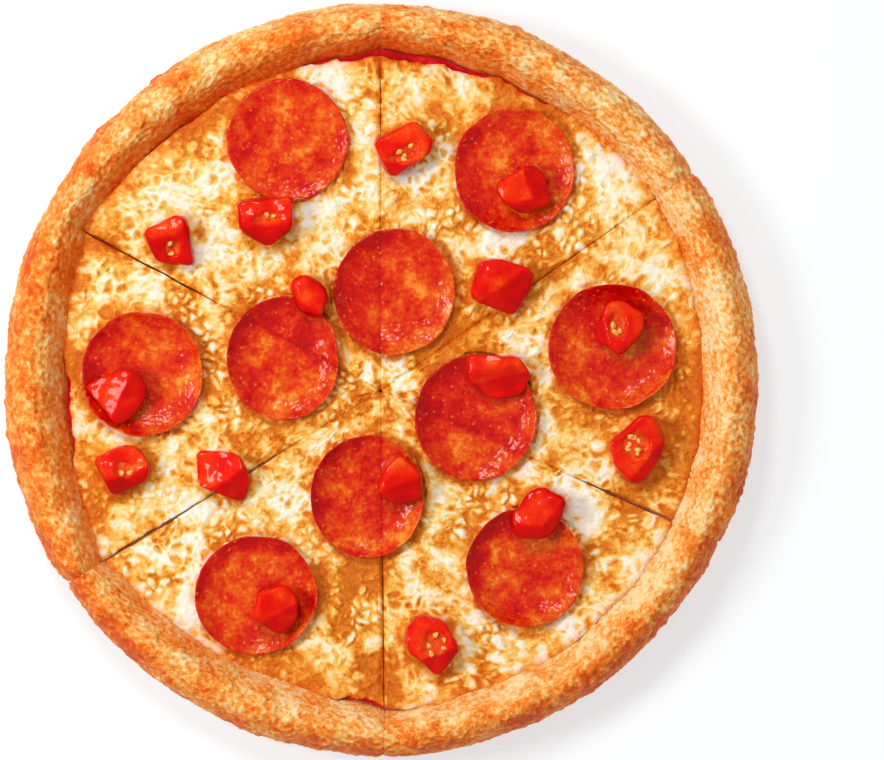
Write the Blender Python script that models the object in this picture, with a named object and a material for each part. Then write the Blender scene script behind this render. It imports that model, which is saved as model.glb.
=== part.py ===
# A round pizza with a thick risen rim, cut into six slices that still lie together.
# Each slice has a dough base, a layer of sauce and a layer of cheese, which show at its cuts.
# Ten rounds of pepperoni and sixteen chunks of tomato lie on the cheese. Four rounds are cut with the slices.
# The origin is the middle of the underside, +Z is up, and +Y is the top of the pizza seen from above.
# Lengths are in metres. Directions are in degrees from +X towards +Y.

import math
from collections import namedtuple

import bmesh
import bpy
from mathutils import Matrix, Vector, noise

MM = 0.001

# Driving dimensions
PIZZA_RADIUS = 127 * MM
FLOOR_TOP = 11 * MM          # top of the dough under the sauce
RIM_TOP = 25 * MM            # crest of the rim
WIDEST_HEIGHT = 9 * MM       # height at which the rim bulges out most
SAUCE_THICKNESS = 1 * MM
CHEESE_TOP = 15.2 * MM
GAP = 0.3 * MM               # left between two pieces that touch
CUT_WIDTH = 0.7 * MM
CUT_CENTRE = Vector((-0.1 * MM, -3.9 * MM, 0))

# The rim's section, as shares of the rim's width from its inner foot to its outermost point
CREST_SHARE = 0.56
HEEL_SHARE = 0.72            # where the rounded outside meets the flat underside

# Unevenness
RIM_LUMP = 0.9 * MM          # up and down along the crest
RIM_WAVE = 0.9 * MM          # in and out along the outline
FOOT_WAVE = 1.4 * MM         # in and out along the rim's inner foot
CHEESE_DIP = 0.9 * MM        # hollows between the toppings
DIP_FADE = 7 * MM            # the cheese is level this near to a topping

CHEESE_INSET = 1.3 * MM      # the sauce shows between the cheese and the rim's foot
STEP_ANGLE = 4.3             # one facet of a slice

# A slice runs between two cuts. foot_* is how far the rim's inner foot lies from the pizza's middle at the
# first cut, halfway and at the second cut, and slide is how far the rim has moved out.
Slice = namedtuple("Slice", "start end foot_start foot_middle foot_end slide")
SLICES = (
    Slice(35.0, 90.0, 110.0 * MM, 108.3 * MM, 111.0 * MM, 0.0 * MM),
    Slice(90.0, 151.7, 111.0 * MM, 107.2 * MM, 111.5 * MM, 0.1 * MM),
    Slice(151.7, 211.6, 110.5 * MM, 105.8 * MM, 111.0 * MM, 0.4 * MM),
    Slice(211.6, 270.6, 111.0 * MM, 105.6 * MM, 110.5 * MM, -0.2 * MM),
    Slice(270.6, 336.0, 111.0 * MM, 108.2 * MM, 108.0 * MM, 0.1 * MM),
    Slice(336.0, 395.0, 108.0 * MM, 107.2 * MM, 110.0 * MM, 0.3 * MM),
)

# A round of pepperoni: its middle, its half width and half height seen from above, and the direction of the
# cut that divides it, if one does.
PEPPERONI_THICKNESS = 1.5 * MM
PEPPERONI_CUP = 0.6 * MM     # how far the edge curls up
PEPPERONI_FLAT_SHARE = 0.74  # share of the radius that lies flat
PEPPERONI_SIDES = 26
Pepperoni = namedtuple("Pepperoni", "x y half_width half_height cut")
PEPPERONI_ROUNDS = (
    Pepperoni(-31.3 * MM, 80.3 * MM, 20.8 * MM, 21.4 * MM, None),
    Pepperoni(44.9 * MM, 70.3 * MM, 20.9 * MM, 21.7 * MM, None),
    Pepperoni(4.5 * MM, 29.4 * MM, 21.1 * MM, 21.9 * MM, 90.0),
    Pepperoni(-32.8 * MM, 7.0 * MM, 19.4 * MM, 21.6 * MM, 151.7),
    Pepperoni(-80.1 * MM, 1.8 * MM, 21.1 * MM, 21.7 * MM, None),
    Pepperoni(31.8 * MM, -12.8 * MM, 21.1 * MM, 21.9 * MM, 336.0),
    Pepperoni(77.7 * MM, 10.8 * MM, 22.2 * MM, 21.9 * MM, None),
    Pepperoni(-4.5 * MM, -39.3 * MM, 19.5 * MM, 21.4 * MM, 270.6),
    Pepperoni(-41.9 * MM, -72.3 * MM, 21.2 * MM, 20.7 * MM, None),
    Pepperoni(48.2 * MM, -63.2 * MM, 20.4 * MM, 20.6 * MM, None),
)

# A chunk of tomato: its middle, the height of its underside over the cheese, its own height, the direction
# and angle in which it leans up, and its corners in millimetres from its middle, seen from above.
ON_CHEESE = GAP
ON_PEPPERONI = GAP + PEPPERONI_THICKNESS + PEPPERONI_CUP + GAP
CHUNK_BEVEL = 1.4 * MM
CHUNK_SPREAD = 1.05          # makes up for what the bevel takes off the corners
CHUNK_TAPER = 0.9            # the top of a chunk is this share of its widest outline
Chunk = namedtuple("Chunk", "x y lift height lean_direction lean_angle corners")
CHUNKS = (
    Chunk(7.8 * MM, 77.3 * MM, ON_CHEESE, 9.5 * MM, 0, 0,
          ((-11, 3), (4, 10), (11, 2), (8, -3), (-4, -10), (-7, -7))),
    Chunk(-38.4 * MM, 53.4 * MM, ON_CHEESE + 1.5 * MM, 8.5 * MM, 75, 9,
          ((-10, 7), (9, 9), (10, -2), (1, -9), (-9, -3))),
    Chunk(-71.4 * MM, 47.0 * MM, ON_CHEESE, 9.5 * MM, 0, 0,
          ((-9, 3), (4, 9), (7, 6), (9, -9), (-4, -8))),
    Chunk(48.1 * MM, 63.7 * MM, ON_PEPPERONI, 8.0 * MM, 0, 0,
          ((-10, 2), (2, 9), (6, 7), (10, -4), (0, -9), (-8, -4))),
    Chunk(40.5 * MM, 31.0 * MM, ON_CHEESE, 9.5 * MM, 0, 0,
          ((-11, -2), (-8, 9), (-2, 10), (11, 6), (10, -1), (4, -10), (-10, -5))),
    Chunk(-23.3 * MM, 27.4 * MM, ON_CHEESE + 2.2 * MM, 7.5 * MM, 243, 9,
          ((-8, 5), (-3, 8), (4, 4), (6, -1), (3, -8), (-5, -5))),
    Chunk(79.5 * MM, 17.2 * MM, ON_PEPPERONI, 8.5 * MM, 0, 0,
          ((-4, 9), (1, 10), (9, 5), (9, -1), (1, -10), (-9, -3))),
    Chunk(39.8 * MM, 0.8 * MM, ON_PEPPERONI, 8.0 * MM, 0, 0,
          ((-11, 8), (7, 7), (11, 1), (8, -6), (-2, -8), (-11, -1))),
    Chunk(86.0 * MM, -23.0 * MM, ON_CHEESE, 9.5 * MM, 0, 0,
          ((-10, 2), (2, 12), (7, 10), (10, 0), (3, -10), (-1, -13), (-8, -7))),
    Chunk(-88.6 * MM, -6.0 * MM, ON_PEPPERONI, 8.5 * MM, 0, 0,
          ((-11, 4), (1, 10), (8, 9), (11, 2), (7, -6), (0, -10))),
    Chunk(-86.9 * MM, -30.7 * MM, ON_CHEESE, 9.0 * MM, 0, 0,
          ((-10, 4), (0, 9), (6, 8), (10, 2), (9, -3), (-3, -9))),
    Chunk(-52.9 * MM, -32.5 * MM, ON_CHEESE, 9.0 * MM, 0, 0,
          ((-9, 9), (5, 8), (9, 1), (9, -5), (6, -9), (-9, -3))),
    Chunk(5.8 * MM, -33.4 * MM, ON_PEPPERONI, 8.0 * MM, 0, 0,
          ((-8, -4), (-4, 5), (1, 9), (8, 2), (8, -7), (-1, -9))),
    Chunk(52.9 * MM, -45.5 * MM, ON_PEPPERONI + 0.2 * MM, 8.5 * MM, 255, 5,
          ((-10, -1), (-4, 7), (1, 10), (10, 5), (8, -2), (2, -9), (-8, -8))),
    Chunk(-35.6 * MM, -77.1 * MM, ON_PEPPERONI, 8.0 * MM, 0, 0,
          ((-6, 6), (4, 9), (8, 4), (8, -4), (2, -9), (-8, -3))),
    Chunk(17.3 * MM, -89.4 * MM, ON_CHEESE, 9.5 * MM, 0, 0,
          ((-10, 5), (-5, 11), (4, 9), (10, -1), (2, -11), (-9, -1))),
)

# Finishes: base colour and roughness
DOUGH_FINISH = ((0.78, 0.34, 0.09), 0.75)
SAUCE_FINISH = ((0.45, 0.02, 0.01), 0.35)
CHEESE_FINISH = ((0.90, 0.62, 0.28), 0.45)
PEPPERONI_FINISH = ((0.72, 0.06, 0.01), 0.4)
TOMATO_FINISH = ((0.80, 0.03, 0.005), 0.25)


def heading(angle):
    return Vector((math.cos(math.radians(angle)), math.sin(math.radians(angle)), 0))


def ripple(point, wavelength, layer):
    return noise.noise(Vector((point.x / wavelength, point.y / wavelength, layer)))


def make_material(name, finish):
    colour, roughness = finish
    material = bpy.data.materials.new(name)
    material.use_nodes = True
    shader = material.node_tree.nodes["Principled BSDF"]
    shader.inputs["Base Color"].default_value = (*colour, 1)
    shader.inputs["Roughness"].default_value = roughness
    shader.inputs["Metallic"].default_value = 0
    return material


def make_object(name, bm, finish, parent):
    bmesh.ops.remove_doubles(bm, verts=bm.verts, dist=0.01 * MM)
    bmesh.ops.recalc_face_normals(bm, faces=bm.faces)
    mesh = bpy.data.meshes.new(name)
    bm.to_mesh(mesh)
    bm.free()
    mesh.shade_smooth()
    mesh.set_sharp_from_angle(angle=math.radians(45))
    mesh.materials.append(make_material(name, finish))
    item = bpy.data.objects.new(name, mesh)
    item.parent = parent
    bpy.context.scene.collection.objects.link(item)
    return item


def arc_points(steps, first, last):
    return [math.radians(first + (last - first) * step / steps) for step in range(steps + 1)]


def dough_section():
    """Across a slice of dough from its tip: 0 to 1 is the floor, 1 to 2 the rim. Heights are true."""
    rise = RIM_TOP - FLOOR_TOP
    section = [(0, 0)]
    for turn in arc_points(3, -90, 0)[:-1]:
        share = HEEL_SHARE + (1 - HEEL_SHARE) * math.cos(turn)
        section.append((1 + share, WIDEST_HEIGHT * (1 + math.sin(turn))))
    for turn in arc_points(5, 0, 90):
        share = CREST_SHARE + (1 - CREST_SHARE) * math.cos(turn)
        section.append((1 + share, WIDEST_HEIGHT + (RIM_TOP - WIDEST_HEIGHT) * math.sin(turn)))
    for turn in arc_points(5, 90, 0)[1:]:
        section.append((1 + CREST_SHARE * math.degrees(turn) / 90, FLOOR_TOP + rise * math.sin(turn)))
    section.append((0, FLOOR_TOP))
    return section


def sauce_section():
    bottom = FLOOR_TOP + GAP
    top = bottom + SAUCE_THICKNESS
    edge = 1 - GAP / PIZZA_RADIUS
    return [(0, bottom), (edge, bottom), (edge, top), (0, top)]


def cheese_section():
    bottom = FLOOR_TOP + GAP + SAUCE_THICKNESS + GAP
    edge = 1 - CHEESE_INSET / PIZZA_RADIUS
    section = [(0, bottom), (edge * 0.992, bottom), (edge, bottom + 0.9 * MM)]
    section += [(edge * 0.985, CHEESE_TOP - 0.5 * MM), (edge * 0.95, CHEESE_TOP)]
    section += [(edge * share, CHEESE_TOP) for share in (0.84, 0.7, 0.55, 0.4, 0.22, 0)]
    return section


def ray_length(start, ray, radius):
    """From start along ray to the circle of this radius round the pizza's middle."""
    along = start.dot(ray)
    return math.sqrt(along * along - start.length_squared + radius * radius) - along


def foot_radius(piece, angle):
    share = (angle - piece.start) / (piece.end - piece.start)
    side = piece.foot_start if share < 0.5 else piece.foot_end
    base = piece.foot_middle + (side - piece.foot_middle) * abs(2 * share - 1) ** 3
    return base + FOOT_WAVE * ripple(heading(angle) * PIZZA_RADIUS, 16 * MM, 2)


def rim_radius(piece, angle):
    return PIZZA_RADIUS + piece.slide + RIM_WAVE * ripple(heading(angle) * PIZZA_RADIUS, 28 * MM, 1)


def slice_tip(piece):
    """The tip is moved out from the cuts' crossing, which leaves half a cut's width along both sides."""
    half_angle = math.radians(piece.end - piece.start) / 2
    return CUT_CENTRE + heading((piece.start + piece.end) / 2) * (CUT_WIDTH / 2 / math.sin(half_angle))


def topping_clearance(point):
    """0 beside or under a topping, 1 where the cheese lies free."""
    clear = DIP_FADE
    for topping in PEPPERONI_ROUNDS:
        away = (point - Vector((topping.x, topping.y, 0))).length - topping.half_height
        clear = min(clear, max(away, 0))
    for topping in CHUNKS:
        away = (point - Vector((topping.x, topping.y, 0))).length - 11 * MM
        clear = min(clear, max(away, 0))
    return clear / DIP_FADE


def dough_relief(point, height):
    share = max(height - FLOOR_TOP, 0) / (RIM_TOP - FLOOR_TOP)
    return RIM_LUMP * share * ripple(point, 17 * MM, 3)


def cheese_relief(point, height):
    if height < CHEESE_TOP - MM:
        return 0
    return -CHEESE_DIP * topping_clearance(point) * (0.5 + 0.5 * ripple(point, 13 * MM, 4))


def flat_relief(point, height):
    return 0


def turn_slice(piece, section, relief):
    """Turn a section from one cut of a slice to the other and stretch it to the slice's outline."""
    bm = bmesh.new()
    outline = [bm.verts.new((reach, 0, height)) for reach, height in section]
    side = bm.faces.new(outline)
    turn = piece.end - piece.start
    bmesh.ops.spin(bm, geom=[side], cent=(0, 0, 0), axis=(0, 0, 1), angle=math.radians(turn),
                   steps=round(turn / STEP_ANGLE), use_duplicate=False)
    tip = slice_tip(piece)
    for vert in bm.verts:
        reach = math.hypot(vert.co.x, vert.co.y)
        angle = piece.start + math.degrees(math.atan2(vert.co.y, vert.co.x)) if reach > 1e-4 else piece.start
        ray = heading(angle)
        foot = ray_length(tip, ray, foot_radius(piece, angle))
        rim = ray_length(tip, ray, rim_radius(piece, angle))
        length = foot * min(reach, 1) + (rim - foot) * max(reach - 1, 0)
        height = vert.co.z
        vert.co = tip + ray * length
        vert.co.z = height + relief(vert.co, height)
    return bm


def build_slices(parent):
    for number, piece in enumerate(SLICES, start=1):
        dough = turn_slice(piece, dough_section(), dough_relief)
        make_object(f"dough_{number}", dough, DOUGH_FINISH, parent)
        sauce = turn_slice(piece, sauce_section(), flat_relief)
        make_object(f"sauce_{number}", sauce, SAUCE_FINISH, parent)
        cheese = turn_slice(piece, cheese_section(), cheese_relief)
        make_object(f"cheese_{number}", cheese, CHEESE_FINISH, parent)


def pepperoni_round(pepperoni):
    """A flat round with a curled-up edge, turned about its own axis and pressed to its width and height."""
    flat = PEPPERONI_FLAT_SHARE
    top = PEPPERONI_THICKNESS
    bm = bmesh.new()
    section = [(0, 0), (flat, 0), (0.98, PEPPERONI_CUP), (1, PEPPERONI_CUP + top / 2)]
    section += [(0.97, PEPPERONI_CUP + top), (flat * 0.98, top), (0, top)]
    side = bm.faces.new([bm.verts.new((reach, 0, height)) for reach, height in section])
    edges = [edge for edge in side.edges if any(vert.co.x > 0 for vert in edge.verts)]
    bm.faces.remove(side)
    bmesh.ops.spin(bm, geom=edges + list(bm.verts), cent=(0, 0, 0), axis=(0, 0, 1), angle=math.tau,
                   steps=PEPPERONI_SIDES, use_merge=True, use_duplicate=False)
    loose = [edge for edge in bm.edges if not edge.link_faces]
    bmesh.ops.delete(bm, geom=loose, context="EDGES")
    bmesh.ops.scale(bm, vec=(pepperoni.half_width, pepperoni.half_height, 1), verts=bm.verts)
    bmesh.ops.remove_doubles(bm, verts=bm.verts, dist=0.01 * MM)
    return bm


def keep_side(bm, pepperoni, side):
    """Keep what lies to one side of the cut that divides a round, and close the cut face."""
    across = Matrix.Rotation(math.radians(90 * side), 3, "Z") @ heading(pepperoni.cut)
    edge_point = CUT_CENTRE - Vector((pepperoni.x, pepperoni.y, 0)) + across * (CUT_WIDTH / 2)
    bmesh.ops.bisect_plane(bm, geom=bm.verts[:] + bm.edges[:] + bm.faces[:], dist=0.001 * MM,
                           plane_co=edge_point, plane_no=-across, clear_outer=True)
    rim = [edge for edge in bm.edges if edge.is_boundary]
    bmesh.ops.edgeloop_fill(bm, edges=rim)


def build_pepperoni(parent):
    for number, pepperoni in enumerate(PEPPERONI_ROUNDS, start=1):
        sides = {f"pepperoni_{number}": None}
        if pepperoni.cut is not None:
            sides = {f"pepperoni_{number}_a": 1, f"pepperoni_{number}_b": -1}
        for name, side in sides.items():
            bm = pepperoni_round(pepperoni)
            if side is not None:
                keep_side(bm, pepperoni, side)
            item = make_object(name, bm, PEPPERONI_FINISH, parent)
            item.location = (pepperoni.x, pepperoni.y, CHEESE_TOP + GAP)


def build_chunk(name, chunk, parent):
    """The outline is extruded and narrowed to its top, and its edges are bevelled."""
    spread = CHUNK_SPREAD * MM
    bm = bmesh.new()
    base = bm.faces.new([bm.verts.new((x * spread, y * spread, 0)) for x, y in chunk.corners])
    grown = bmesh.ops.extrude_face_region(bm, geom=[base], use_keep_orig=True)
    top = [item for item in grown["geom"] if isinstance(item, bmesh.types.BMVert)]
    bmesh.ops.translate(bm, vec=(0, 0, chunk.height), verts=top)
    bmesh.ops.scale(bm, vec=(CHUNK_TAPER, CHUNK_TAPER, 1), verts=top)
    bmesh.ops.recalc_face_normals(bm, faces=bm.faces)
    bmesh.ops.bevel(bm, geom=bm.edges[:] + bm.verts[:], offset=CHUNK_BEVEL, segments=1, profile=0.5,
                    affect="EDGES", material=-1, clamp_overlap=True)
    item = make_object(name, bm, TOMATO_FINISH, parent)
    lean_axis = heading(chunk.lean_direction - 90)
    lean = Matrix.Rotation(math.radians(chunk.lean_angle), 4, lean_axis)
    item.rotation_euler = lean.to_euler()
    item.location = (chunk.x, chunk.y, CHEESE_TOP + chunk.lift)


def build_chunks(parent):
    for number, chunk in enumerate(CHUNKS, start=1):
        build_chunk(f"tomato_{number}", chunk, parent)


def clear_scene():
    for item in list(bpy.data.objects):
        bpy.data.objects.remove(item, do_unlink=True)


def main():
    clear_scene()
    pizza = bpy.data.objects.new("pizza", None)
    bpy.context.scene.collection.objects.link(pizza)
    build_slices(pizza)
    build_pepperoni(pizza)
    build_chunks(pizza)


main()
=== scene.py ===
# Looks of a sliced pizza: crust, sauce, cheese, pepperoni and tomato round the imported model.
# Shapes are worked out in millimetres and written to the meshes in metres.
import math

import bmesh
import bpy
import numpy as np
from mathutils import Matrix, Vector, noise


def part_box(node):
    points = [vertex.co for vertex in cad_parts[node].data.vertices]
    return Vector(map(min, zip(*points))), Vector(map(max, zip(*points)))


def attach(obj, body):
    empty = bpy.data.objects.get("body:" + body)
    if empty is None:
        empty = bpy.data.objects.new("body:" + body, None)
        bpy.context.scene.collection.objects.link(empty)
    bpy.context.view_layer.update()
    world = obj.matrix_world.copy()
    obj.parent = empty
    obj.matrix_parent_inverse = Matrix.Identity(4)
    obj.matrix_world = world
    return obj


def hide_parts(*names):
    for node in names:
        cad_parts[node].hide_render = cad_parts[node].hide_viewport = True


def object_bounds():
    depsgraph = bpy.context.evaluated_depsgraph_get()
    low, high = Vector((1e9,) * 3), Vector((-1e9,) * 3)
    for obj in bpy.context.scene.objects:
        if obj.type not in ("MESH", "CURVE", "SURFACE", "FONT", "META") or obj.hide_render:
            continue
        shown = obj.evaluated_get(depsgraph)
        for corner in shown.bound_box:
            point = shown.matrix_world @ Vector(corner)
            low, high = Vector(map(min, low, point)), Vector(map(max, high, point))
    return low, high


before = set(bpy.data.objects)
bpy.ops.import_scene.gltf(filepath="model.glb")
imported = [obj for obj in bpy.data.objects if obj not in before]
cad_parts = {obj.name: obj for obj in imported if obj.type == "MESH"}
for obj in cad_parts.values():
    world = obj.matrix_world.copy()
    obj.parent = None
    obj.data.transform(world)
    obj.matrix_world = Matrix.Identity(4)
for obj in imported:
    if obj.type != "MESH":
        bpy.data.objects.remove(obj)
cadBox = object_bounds()
print("frame loaded:", len(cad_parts), "nodes")

mm = 0.001
scene = bpy.context.scene
coarse = 1   # a quick try has half the points along each side
cadLow = np.array(cadBox[0]) / mm
cadHigh = np.array(cadBox[1]) / mm

# The layout that all pieces share, in millimetres and degrees from +X towards +Y.
# foot is how far the rim's inner foot lies from the middle at the first cut, halfway and at the second cut.
layout = {
    "radius": 127.0,
    "floorTop": 11.0,
    "rimTop": 25.0,
    "rimDepth": 19.0,        # from the rim's foot to the outline
    "rimMiddle": 119.0,
    "widestHeight": 9.0,
    "crestShare": 0.56,
    "heelShare": 0.72,
    "cutCentre": (-0.1, -3.9),
    "cutWidth": 0.7,
    "footWander": (1.4, 16.0),   # height and width of the waves along the rim's foot, then along its outline
    "rimWander": (0.9, 28.0),
    "tipInset": 0.4,         # where sauce and cheese begin from a slice's tip
    # pinch is how far the rim is pressed down beside the first and the second cut
    "slices": [
        {"start": 35.0, "end": 90.0, "foot": (110.0, 108.3, 111.0), "slide": 0.0, "pinch": (1.5, 0.4)},
        {"start": 90.0, "end": 151.7, "foot": (111.0, 107.2, 111.5), "slide": 0.1, "pinch": (0.9, 0.25)},
        {"start": 151.7, "end": 211.6, "foot": (110.5, 105.8, 111.0), "slide": 0.4, "pinch": (0.25, 2.0)},
        {"start": 211.6, "end": 270.6, "foot": (111.0, 105.6, 110.5), "slide": -0.2, "pinch": (0.5, 0.6)},
        {"start": 270.6, "end": 336.0, "foot": (111.0, 108.2, 108.0), "slide": 0.1, "pinch": (0.4, 0.9)},
        {"start": 336.0, "end": 395.0, "foot": (108.0, 107.2, 110.0), "slide": 0.3, "pinch": (0.5, 1.6)},
    ],
    "closedWidth": 0.03,     # what is left of a cut where it has melted shut
    "closeReach": 1.5,       # how far from a cut a slice's side is moved
    "ragged": (0.9, 0.9, 5.0),   # share of its width to which a cut opens: mean, variation, wavelength
    "raggedLimits": (0.2, 1.6),
    "fade": (16.0, 8.0, 4.0),    # over which an open stretch begins, inwards and outwards, and ends
    # stretches where a cut stands open: direction, from and to along it, width
    "open": [(151.7, 72, 112, 0.65), (211.6, 44, 108, 0.85), (336.0, 80, 110, 0.8), (270.6, 60, 114, 0.3),
             (90.0, 84, 104, 0.25), (35.0, 60, 100, 0.2)],
}


# Numbers for shapes

tableSteps = 241   # angles at which a slice's radii are worked out


def smoothStep(low, high, value):
    share = np.clip((value - low) / (high - low), 0, 1)
    return share * share * (3 - 2 * share)


def ripple(x, y, wavelength, layer):
    return np.array([noise.noise((a, b, layer)) for a, b in zip(x / wavelength, y / wavelength)])


def grain(points, wavelength, layer, octaves=3):
    shifted = (points / wavelength + layer * 17.3).tolist()
    return np.array([noise.fractal(point, 1.0, 2.0, octaves) for point in shifted])


def curdCells(points, size, layer):
    # 0 in the creases between curds, rising towards their middles
    shifted = (points / size + layer * 11.7).tolist()
    result = []
    for point in shifted:
        near = noise.voronoi(point)[0]
        result.append(near[1] - near[0])
    return np.array(result)


def headings(angles):
    return np.column_stack((np.cos(np.radians(angles)), np.sin(np.radians(angles))))


def rayLength(start, rays, radius):
    along = rays @ start
    return np.sqrt(along ** 2 - start @ start + radius ** 2) - along


def footRadius(piece, angles):
    share = (angles - piece["start"]) / (piece["end"] - piece["start"])
    first, middle, second = piece["foot"]
    side = np.where(share < 0.5, first, second)
    rays = headings(angles) * layout["radius"]
    wander, width = layout["footWander"]
    foot = middle + (side - middle) * np.abs(2 * share - 1) ** 3
    return foot + wander * ripple(rays[:, 0], rays[:, 1], width, 2)


def rimRadius(piece, angles):
    rays = headings(angles) * layout["radius"]
    wander, width = layout["rimWander"]
    return layout["radius"] + piece["slide"] + wander * ripple(rays[:, 0], rays[:, 1], width, 1)


def sliceTip(piece):
    half = math.radians(piece["end"] - piece["start"]) / 2
    middle = headings((piece["start"] + piece["end"]) / 2)[0]
    return np.array(layout["cutCentre"]) + middle * (layout["cutWidth"] / 2 / math.sin(half))


def alongSlice(piece, angles, inset=0.0):
    # how far the foot and the outline lie from the slice's tip, read from a fine table of angles
    table = np.linspace(piece["start"], piece["end"], tableSteps)
    rays = headings(table)
    tip = sliceTip(piece)
    foot = rayLength(tip, rays, footRadius(piece, table) - inset)
    rim = rayLength(tip, rays, rimRadius(piece, table))
    return np.interp(angles, table, foot), np.interp(angles, table, rim)


def meetNeighbours(piece, angles, length, flat, share=1.0):
    # moves a slice's sides out to its cuts, which have mostly melted shut; share is how much of them is open
    mean, variation, wave = layout["ragged"]
    before, after, ending = layout["fade"]
    reach = layout["closeReach"]
    for side, turn in ((piece["start"], -90), (piece["end"], 90)):
        width = np.full(len(length), layout["closedWidth"])
        ragged = mean + variation * ripple(length, np.full(len(length), side + turn), wave, 7)
        ragged = np.clip(ragged, *layout["raggedLimits"]) * share
        for direction, low, high, opened in layout["open"]:
            if abs(direction - side % 360) < 0.1:
                within = smoothStep(low - before, low + after, length)
                within = within * smoothStep(high + ending, high - ending, length)
                width = width + opened * ragged * within
        away = np.abs(np.sin(np.radians(angles - side))) * length
        shift = (layout["cutWidth"] - width) / 2 * np.exp(-away / reach)
        flat = flat + headings(side + turn) * shift[:, None]
    inward = (np.array(layout["cutCentre"]) - sliceTip(piece)) * 0.5
    return flat + inward * np.exp(-length / reach)[:, None]


def awayFromCuts(piece, angles, length):
    return (np.sin(np.radians(angles - piece["start"])) * length,
            np.sin(np.radians(piece["end"] - angles)) * length)


def atHeight(flat, height=0.0):
    return np.column_stack((flat, np.full(len(flat), height)))


def evened(values, middle, spread):
    # brings a pattern to a known mean and spread, so that a colour ramp can count on it
    return middle + spread * (values - values.mean()) / (values.std() + 1e-9)


# Meshes

sharpAngle = math.radians(50)


def readPoints(mesh):
    flat = np.empty(len(mesh.vertices) * 3, np.float32)
    mesh.vertices.foreach_get("co", flat)
    return flat.reshape(-1, 3).astype(float)


def writePoints(mesh, points):
    mesh.vertices.foreach_set("co", (points * mm).astype(np.float32).ravel())
    mesh.update()


def paint(mesh, name, values, domain="POINT"):
    values = np.asarray(values, np.float32)
    if values.ndim == 2:
        mesh.attributes.new(name, "FLOAT_VECTOR", domain).data.foreach_set("vector", values.ravel())
    else:
        mesh.attributes.new(name, "FLOAT", domain).data.foreach_set("value", values)


def readValues(mesh, name):
    values = np.empty(len(mesh.vertices), np.float32)
    mesh.attributes[name].data.foreach_get("value", values)
    return values


def meshFrom(bm, name):
    bmesh.ops.recalc_face_normals(bm, faces=bm.faces)
    mesh = bpy.data.meshes.new(name)
    bm.to_mesh(mesh)
    bm.free()
    return mesh


def keepInside(points):
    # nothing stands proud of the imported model's box
    return np.clip(points, cadLow, cadHigh)


def showPiece(name, mesh, material, slotName, *nodes):
    mesh.shade_smooth()
    mesh.set_sharp_from_angle(angle=sharpAngle)
    mesh.materials.clear()
    mesh.materials.append(material)
    piece = bpy.data.objects.new(name, mesh)
    scene.collection.objects.link(piece)
    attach(piece, "root")
    if nodes:
        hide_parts(*nodes)
    return piece


def gridSheet(across, outward):
    # a grid with x and y from 0 to 1, its edge turned down to a flat underside: z is 1 on top and 0 below
    bm = bmesh.new()
    bmesh.ops.create_grid(bm, x_segments=across, y_segments=outward, size=0.5)
    bmesh.ops.translate(bm, vec=(0.5, 0.5, 1), verts=bm.verts)
    border = [edge for edge in bm.edges if edge.is_boundary]
    side = bmesh.ops.extrude_edge_only(bm, edges=border)["geom"]
    lower = [item for item in side if isinstance(item, bmesh.types.BMVert)]
    bmesh.ops.translate(bm, vec=(0, 0, -1), verts=lower)
    bmesh.ops.edgeloop_fill(bm, edges=[edge for edge in bm.edges if edge.is_boundary])
    return bm


def layerSheet(piece, sizes, name):
    # a sheet over one slice: x turns into the angle between its two cuts
    mesh = meshFrom(gridSheet(sizes["across"] // coarse, sizes["outward"] // coarse), name)
    unit = readPoints(mesh)
    return mesh, unit, piece["start"] + (piece["end"] - piece["start"]) * unit[:, 0]


# Materials

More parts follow.
